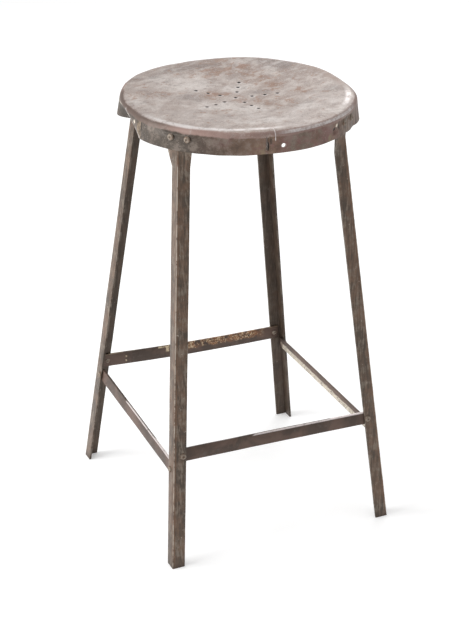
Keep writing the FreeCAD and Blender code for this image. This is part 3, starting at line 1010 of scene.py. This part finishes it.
def heel_line(name):
    """The heel of a leg at the floor, and how far it moves in for each metre of height."""
    spots = []
    for height in (0.0, SPREAD_HEIGHT):
        low, high = level(f"leg_{name}", height)
        x = low.x if "left" in name else high.x
        y = low.y if "front" in name else high.y
        spots.append(Vector((x, y)))
    return spots[0], (spots[1] - spots[0]) / SPREAD_HEIGHT


# %% [markdown]
# The legs carry a dark patina. What wears is the heel, where boots and other furniture
# rub, and the free edges of the flanges. The faces turned inwards are painted darker as
# shade, and the legs grow darker towards the floor. One number at each vertex says how far
# across the section it lies, another how far it faces inwards, and the finish reads both.

# %% Legs: finish
IRON_DARK = linear(72, 62, 53)
IRON_BROWN = linear(108, 85, 69)
IRON_GREY = linear(128, 118, 106)
IRON_WORN = linear(184, 174, 162)
IRON_RUST = linear(112, 76, 52)
IRON_INSIDE = linear(58, 46, 36)


def iron_finish(name):
    finish = Finish(f"aged_iron_{name}")
    y, z = finish.axes()[1:]
    across = finish.attribute("across")
    clouds = finish.noise(24, 6, 0.66, warp=0.5)
    drawn = finish.noise(1.0, 6, 0.68, at=finish.stretched(0, (330, 330, 20)), warp=0.3)
    blotches = finish.noise(70, 6, 0.68)
    grain = finish.noise(330, 4, 0.7)
    heel_side = finish.step(across, 0.0042, 0.0022) * finish.step(across, 0.0008, 0.0018)
    worn = finish.step(across, 0.0016, 0.0004) * finish.step(blotches, 0.38, 0.52)
    tip = finish.step(across, 0.0186, 0.0193) * finish.step(blotches + clouds, 0.95, 1.10)
    edge = worn * 0.75 + tip * 0.5
    chips = finish.step(finish.noise(210, 2, 0.5), 0.70, 0.76)
    rust = finish.step(blotches * 0.5 + clouds * 0.5, 0.60, 0.70)
    colour = finish.coats(
        IRON_DARK,
        (finish.step(clouds * 0.5 + drawn * 0.5, 0.40, 0.60), IRON_BROWN),
        (finish.step(drawn * 0.5 + blotches * 0.5, 0.48, 0.60) * 0.7, IRON_GREY),
        (finish.step(grain * 0.5 + drawn * 0.5, 0.50, 0.40) * 0.45, IRON_DARK),
        (heel_side * finish.step(y, 0.0, -0.05) * 0.4, IRON_RUST),
        (edge, IRON_WORN),
        (chips * 0.5, IRON_WORN),
        (rust * 0.45, IRON_RUST),
        # Darker towards the floor.
        (finish.step(z, 0.012, 0.002) * 0.5, IRON_INSIDE),
        # The inward faces are painted darker as shade.
        (finish.attribute("inward_shade") * 0.65, IRON_INSIDE),
    )
    finish.set(Base_Color=colour, Roughness=0.46 + (blotches - 0.5) * 0.3 + rust * 0.2)
    finish.set(Metallic=0.35 + edge * 0.3)
    finish.bump(clouds * 0.3 + blotches * 0.4 + grain * 0.3, 0.0008, 0.6)
    return finish


for leg_name in LEG_NAMES:
    leg = stock(f"leg_{leg_name}", 2, LEG_CUT)
    foot, lean = heel_line(leg_name)
    distances = []
    for vertex in leg.data.vertices:
        heel = foot + lean * min(vertex.co.z, SPREAD_HEIGHT)
        if vertex.co.z > SPREAD_HEIGHT:
            distances.append((vertex.co.xy - heel).length)
        else:
            distances.append(max(abs(vertex.co.x - heel.x), abs(vertex.co.y - heel.y)))
    store(leg, "across", distances)
    # How far each face turns inwards, for the shade painted on the inner faces.
    outward = Vector((foot.x, foot.y, 0)).normalized()
    store(leg, "inward_shade", [ease(v.normal.dot(outward), 0.1, -0.3) for v in leg.data.vertices])
    stand_for(leg, f"leg_{leg_name}", iron_finish(leg_name))
    print(leg_name, "triangles:", triangles(leg))

# %% [markdown]
# Feet rest on the stretchers, so their outer top edges are scuffed bright except close to
# the legs, and that bright edge is also a painted highlight. The back one keeps rust and
# flakes of cream paint, its top edge lightened with cream partly as a painted highlight, and
# the right one is flaked and pitted along its lower half. Three numbers at each vertex place
# these: how far up it is, how far along, and whether it is on the outer side.

# %% Stretchers: finish
BAR_DARK = linear(72, 58, 50)
BAR_BROWN = linear(96, 76, 66)
BAR_SCUFF_HIGHLIGHT = linear(222, 212, 210)
BAR_CREAM = linear(216, 196, 162)
BAR_ORANGE = linear(142, 94, 58)
BAR_FLAKE = linear(226, 216, 198)
BAR_GREY = linear(92, 84, 78)
# For each bar, the axis it runs along, then how much it is scuffed bright with a painted
# highlight, painted and flaked.
BARS = {
    "front": (0, 1.0, 0.0, 0.0),
    "back": (0, 0.3, 1.0, 0.0),
    "left": (1, 1.0, 0.0, 0.0),
    "right": (1, 0.2, 0.0, 1.0),
}


def bar_finish(name, scuff, cream, flake):
    finish = Finish(f"aged_bar_{name}")
    rise = finish.attribute("rise")
    along = finish.attribute("along")
    clouds = finish.noise(22, 6, 0.6, warp=0.5)
    blotches = finish.noise(90, 6, 0.68, warp=0.3)
    grain = finish.noise(360, 4, 0.7)
    clear_of_legs = finish.step(along, 0.018, 0.030) * finish.step(along, 0.982, 0.970)
    # The outer top edge is painted bright, partly as scuffing and partly as a painted highlight.
    scuffed_and_highlit = finish.step(rise, 0.90, 0.95) * finish.step(finish.attribute("outer"), 0.35, 0.75)
    scuffed_and_highlit = scuffed_and_highlit * finish.step(blotches * 0.5 + grain * 0.5, 0.32, 0.48)
    scuffed_and_highlit = scuffed_and_highlit * clear_of_legs * scuff

    zone = finish.step(along, 0.42, 0.52) * finish.step(along, 0.93, 0.84) * cream
    zone = zone * finish.step(rise + (clouds - 0.5) * 0.8, 0.28, 0.50)
    ochre = finish.step(blotches * 0.6 + clouds * 0.4, 0.42, 0.52) * zone
    creamy = finish.step(blotches * 0.4 + grain * 0.6, 0.50, 0.57) * zone
    stroke = finish.near(rise, 0.84, 0.09, 0.04) * finish.near(along, 0.335, 0.034, 0.028)
    drip = finish.near(along, 0.357, 0.012, 0.006) * finish.near(rise, 0.62, 0.26, 0.16)
    two_flecks = finish.near(along, 0.125, 0.006, 0.002)
    two_flecks = two_flecks * finish.near(abs(rise - 0.42), 0.17, 0.09, 0.03)
    creamy = creamy + (stroke + drip + two_flecks) * cream * finish.step(grain, 0.36, 0.50)
    # The top edge is lightened with cream, partly as paint and partly as a painted highlight.
    top_edge = finish.step(rise, 0.93, 0.98) * finish.step(blotches, 0.40, 0.56)
    creamy = creamy + top_edge * cream * 0.4

    flaked = finish.step(rise + (blotches - 0.5) * 0.5, 0.60, 0.50) * clear_of_legs * flake
    crumbs = finish.noise(620, 4, 0.75)
    pitted = flaked * finish.step(crumbs * 0.7 + blotches * 0.3, 0.50, 0.44)
    colour = finish.coats(
        BAR_DARK,
        (finish.step(clouds, 0.40, 0.60), BAR_BROWN),
        (finish.step(blotches, 0.54, 0.68) * 0.5, BAR_GREY),
        (scuffed_and_highlit * 0.9, BAR_SCUFF_HIGHLIGHT),
        (ochre * 0.85, BAR_ORANGE),
        (creamy * 0.85, BAR_CREAM),
        (flaked * 0.75, BAR_FLAKE),
        (pitted * 0.9, BAR_DARK),
    )
    finish.set(Base_Color=colour, Roughness=0.5 + (blotches - 0.5) * 0.3 - scuffed_and_highlit * 0.1)
    finish.set(Metallic=0.3 + scuffed_and_highlit * 0.4 - creamy * 0.25)
    finish.bump(clouds * 0.3 + blotches * 0.4 + grain * 0.3, 0.0008, 0.6)
    return finish


def bar_ends(node, axis):
    """For each end of a bar: where it is, and its lowest and highest point there."""
    low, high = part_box(node)
    ends = []
    for end in (low[axis], high[axis]):
        heights = [v.co.z for v in nodes[node].data.vertices if abs(v.co[axis] - end) < 1e-5]
        ends.append((end, min(heights), max(heights)))
    return ends


for bar_name, (axis, scuff, cream, flake) in BARS.items():
    node_name = f"stretcher_{bar_name}"
    bar = stock(node_name, axis, BAR_CUT)
    (start, start_low, start_high), (end, end_low, end_high) = bar_ends(node_name, axis)
    rises = []
    runs = []
    for vertex in bar.data.vertices:
        share = (vertex.co[axis] - start) / (end - start)
        lower = start_low + (end_low - start_low) * share
        upper = start_high + (end_high - start_high) * share
        runs.append(share)
        rises.append((vertex.co.z - lower) / (upper - lower))
    low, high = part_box(node_name)
    other = 1 - axis
    middle = (low[other] + high[other]) / 2
    side = math.copysign(1, middle)
    store(bar, "outer", [float((v.co[other] - middle) * side > 0) for v in bar.data.vertices])
    store(bar, "rise", rises)
    store(bar, "along", runs)
    finish = bar_finish(bar_name, scuff, cream, flake)
    stand_for(bar, node_name, finish)
    print(bar_name, "bar from", round(start, 3), "to", round(end, 3))

# %% [markdown]
# The rivets were set with a punch, which left a ring with a dimple in it. The ring is
# painted lighter, partly as wear and partly as a painted highlight, and the dimple darker
# as painted shade. One is turned on the lathe, and each place gets its own copy, stood on
# its axis and turned a little so that no two catch the light alike.

# %% Rivets
HEAD_RADIUS = 0.0049
HEAD_HEIGHT = 0.0025
DIMPLE_RADIUS = 0.0023
DIMPLE_DEPTH = 0.0008
SHANK_RADIUS = 0.0025
TAIL_RADIUS = 0.0040
TAIL_HEIGHT = 0.0013
RIVET_STEPS = 40
random.seed(7)


def rivet_profile(grip):
    points = [Vector((0, 0, HEAD_HEIGHT - DIMPLE_DEPTH))]
    for part in range(1, 5):
        share = part / 4
        points.append(Vector((
            DIMPLE_RADIUS * share, 0, HEAD_HEIGHT - DIMPLE_DEPTH * (1 - share ** 2)
        )))
    for part in range(1, 8):
        turn = math.radians(90 - 90 * part / 7)
        points.append(Vector((
            DIMPLE_RADIUS + (HEAD_RADIUS - DIMPLE_RADIUS) * math.cos(turn), 0,
            HEAD_HEIGHT * math.sin(turn),
        )))
    points.append(Vector((SHANK_RADIUS, 0, 0)))
    points.append(Vector((SHANK_RADIUS, 0, -grip)))
    for part in range(6):
        turn = math.radians(90 * part / 5)
        points.append(Vector((
            TAIL_RADIUS * math.cos(turn), 0, -grip - TAIL_HEIGHT * math.sin(turn)
        )))
    return points


def rivet_finish():
    finish = Finish("set_rivet_steel")
    reach = finish.attribute("reach")
    blotches = finish.noise(260, 5, 0.65)
    ring = finish.step(reach, 0.0020, 0.0026) * finish.step(reach, 0.0043, 0.0034)
    ring = ring * finish.step(blotches, 0.34, 0.50)
    colour = finish.coats(
        IRON_BROWN,
        (finish.step(blotches, 0.36, 0.62), IRON_GREY),
        # The raised ring is lightened, partly as wear and partly as a painted highlight.
        (ring * 0.22, IRON_WORN),
        # The dimple is darkened as painted shade.
        (finish.step(reach, 0.0018, 0.0010) * 0.35, IRON_DARK),
    )
    finish.set(Base_Color=colour, Roughness=0.55 + (blotches - 0.5) * 0.3)
    finish.set(Metallic=0.25 + ring * 0.1)
    finish.bump(blotches, 0.0003, 0.6)
    return finish


def outward_of(name):
    """The way a rivet's head faces."""
    low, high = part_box(name)
    middle = (Vector(low) + Vector(high)) / 2
    if "seat" in name:
        return Vector((middle.x, middle.y, 0)).normalized()
    corner = ("front_" if middle.y < 0 else "back_") + ("left" if middle.x < 0 else "right")
    lean = heel_line(corner)[1]
    if "front_stretcher" in name or "back_stretcher" in name:
        side = math.copysign(1, middle.y)
        return Vector((0, side, -side * lean.y)).normalized()
    side = math.copysign(1, middle.x)
    return Vector((side, 0, -side * lean.x)).normalized()


def stand_up(name):
    """The turn and place that stand a rivet made at the origin where its node is, and
    the length between its head and its tail."""
    outward = outward_of(name)
    turn = outward.to_track_quat("Z", "Y").to_matrix()
    local = [turn.transposed() @ v.co for v in nodes[name].data.vertices]
    middle = [(min(p[i] for p in local) + max(p[i] for p in local)) / 2 for i in range(2)]
    top = max(p.z for p in local)
    bottom = min(p.z for p in local)
    place = turn @ Vector((middle[0], middle[1], top - HEAD_HEIGHT))
    grip = top - bottom - HEAD_HEIGHT - TAIL_HEIGHT
    return Matrix.Translation(place) @ turn.to_4x4(), grip


rivet_steel = rivet_finish()
rivet_names = sorted(name for name in nodes if name.startswith("rivet_"))
masters = {}
for rivet_name in rivet_names:
    stance, grip = stand_up(rivet_name)
    key = round(grip, 4)
    if key not in masters:
        masters[key] = lathe("rivet_master", rivet_profile(grip), RIVET_STEPS)
        reaches = [vertex.co.xy.length for vertex in masters[key].data.vertices]
        store(masters[key], "reach", reaches)
    rivet = bpy.data.objects.new(f"{rivet_name}_set", masters[key].data.copy())
    bpy.context.scene.collection.objects.link(rivet)
    spin = Matrix.Rotation(random.uniform(0, math.tau), 4, "Z")
    rivet.data.transform(stance @ spin)
    smooth(rivet, 45)
    stand_for(rivet, rivet_name, rivet_steel)
for master in masters.values():
    bpy.data.objects.remove(master)
print("rivets:", len(rivet_names))
